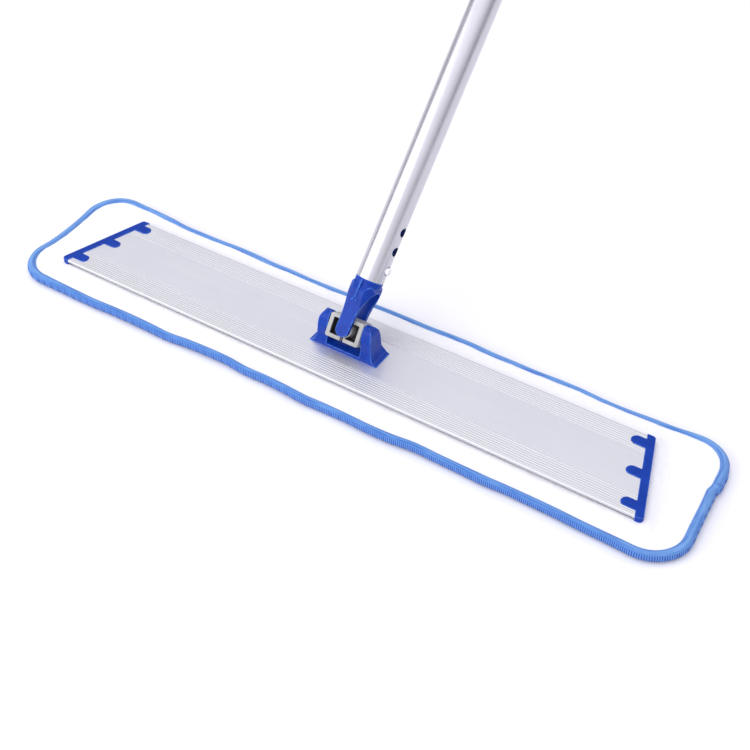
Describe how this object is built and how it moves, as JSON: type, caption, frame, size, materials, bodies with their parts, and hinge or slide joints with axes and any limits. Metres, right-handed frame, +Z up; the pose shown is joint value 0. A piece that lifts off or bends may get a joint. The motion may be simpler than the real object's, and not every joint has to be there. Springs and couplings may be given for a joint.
{
  "type": "flat mop",
  "caption": "Flat floor mop: long aluminium plate with plastic end caps on a bound microfibre pad, fork-and-block joint, and a leaning round aluminium handle with snap button and hanging eye.",
  "frame": {"origin": "on the floor in the middle of the pad's sole, directly under the joint", "axes": "+X along the plate, +Y towards the side the handle leans to, +Z up"},
  "size_m": [0.675, 0.9178, 1.2108],
  "materials": {
    "plate_aluminium": "satin anodised extrusion",
    "cap_plastic": "moulded, fine satin",
    "joint_plastic": "moulded nylon, semi-gloss",
    "block_plastic": "moulded nylon, satin",
    "tube_aluminium": "satin anodised drawn tube",
    "button_plastic": "smooth",
    "steel": "zinc plated",
    "hook_tape": "nylon hooks",
    "grip_rubber": "soft, matt",
    "loop_fabric": "brushed loop knit",
    "foam": "open-cell foam",
    "microfibre": "short looped pile",
    "binding_tape": "ribbed polyester tape"
  },
  "bodies": {
    "head": {"plate": "plate_aluminium", "end_cap_left": "cap_plastic", "end_cap_right": "cap_plastic", "hook_strip_front": "hook_tape", "hook_strip_rear": "hook_tape", "joint_base": "joint_plastic", "base_screws": "steel", "base_washers": "steel"},
    "cross": {"cross_block": "block_plastic"},
    "handle": {"yoke": "joint_plastic", "pole": "tube_aluminium", "grip": "grip_rubber", "hanging_cap": "cap_plastic"},
    "button": {"snap_button": "button_plastic", "button_spring": "steel"},
    "pad": {"pad_backing": "loop_fabric", "pad_core": "foam", "pad_face": "microfibre", "pad_binding": "binding_tape"}
  },
  "joints": [
    {"name": "tilt", "type": "hinge", "parent": "head", "child": "cross", "pos_m": [0, 0, 0.035], "axis": [-1, 0, 0], "range_deg": [-125.7, 54.3]},
    {"name": "swing", "type": "hinge", "parent": "cross", "child": "handle", "pos_m": [0, 0, 0.035], "axis": [0, 0.8121, -0.5835], "range_deg": [-39.4, 30.6]},
    {"name": "button_press", "type": "slide", "parent": "handle", "child": "button", "axis": [-0.9971, 0.0448, 0.0623], "range_m": [0, 0.0041], "stiffness_N_per_m": 1500, "springref_m": -0.002, "deforming": ["button_spring"]},
    {"name": "pad_release", "type": "slide", "parent": "head", "child": "pad", "axis": [0, 0, -1], "range_m": [0, 0.05]}
  ]
}
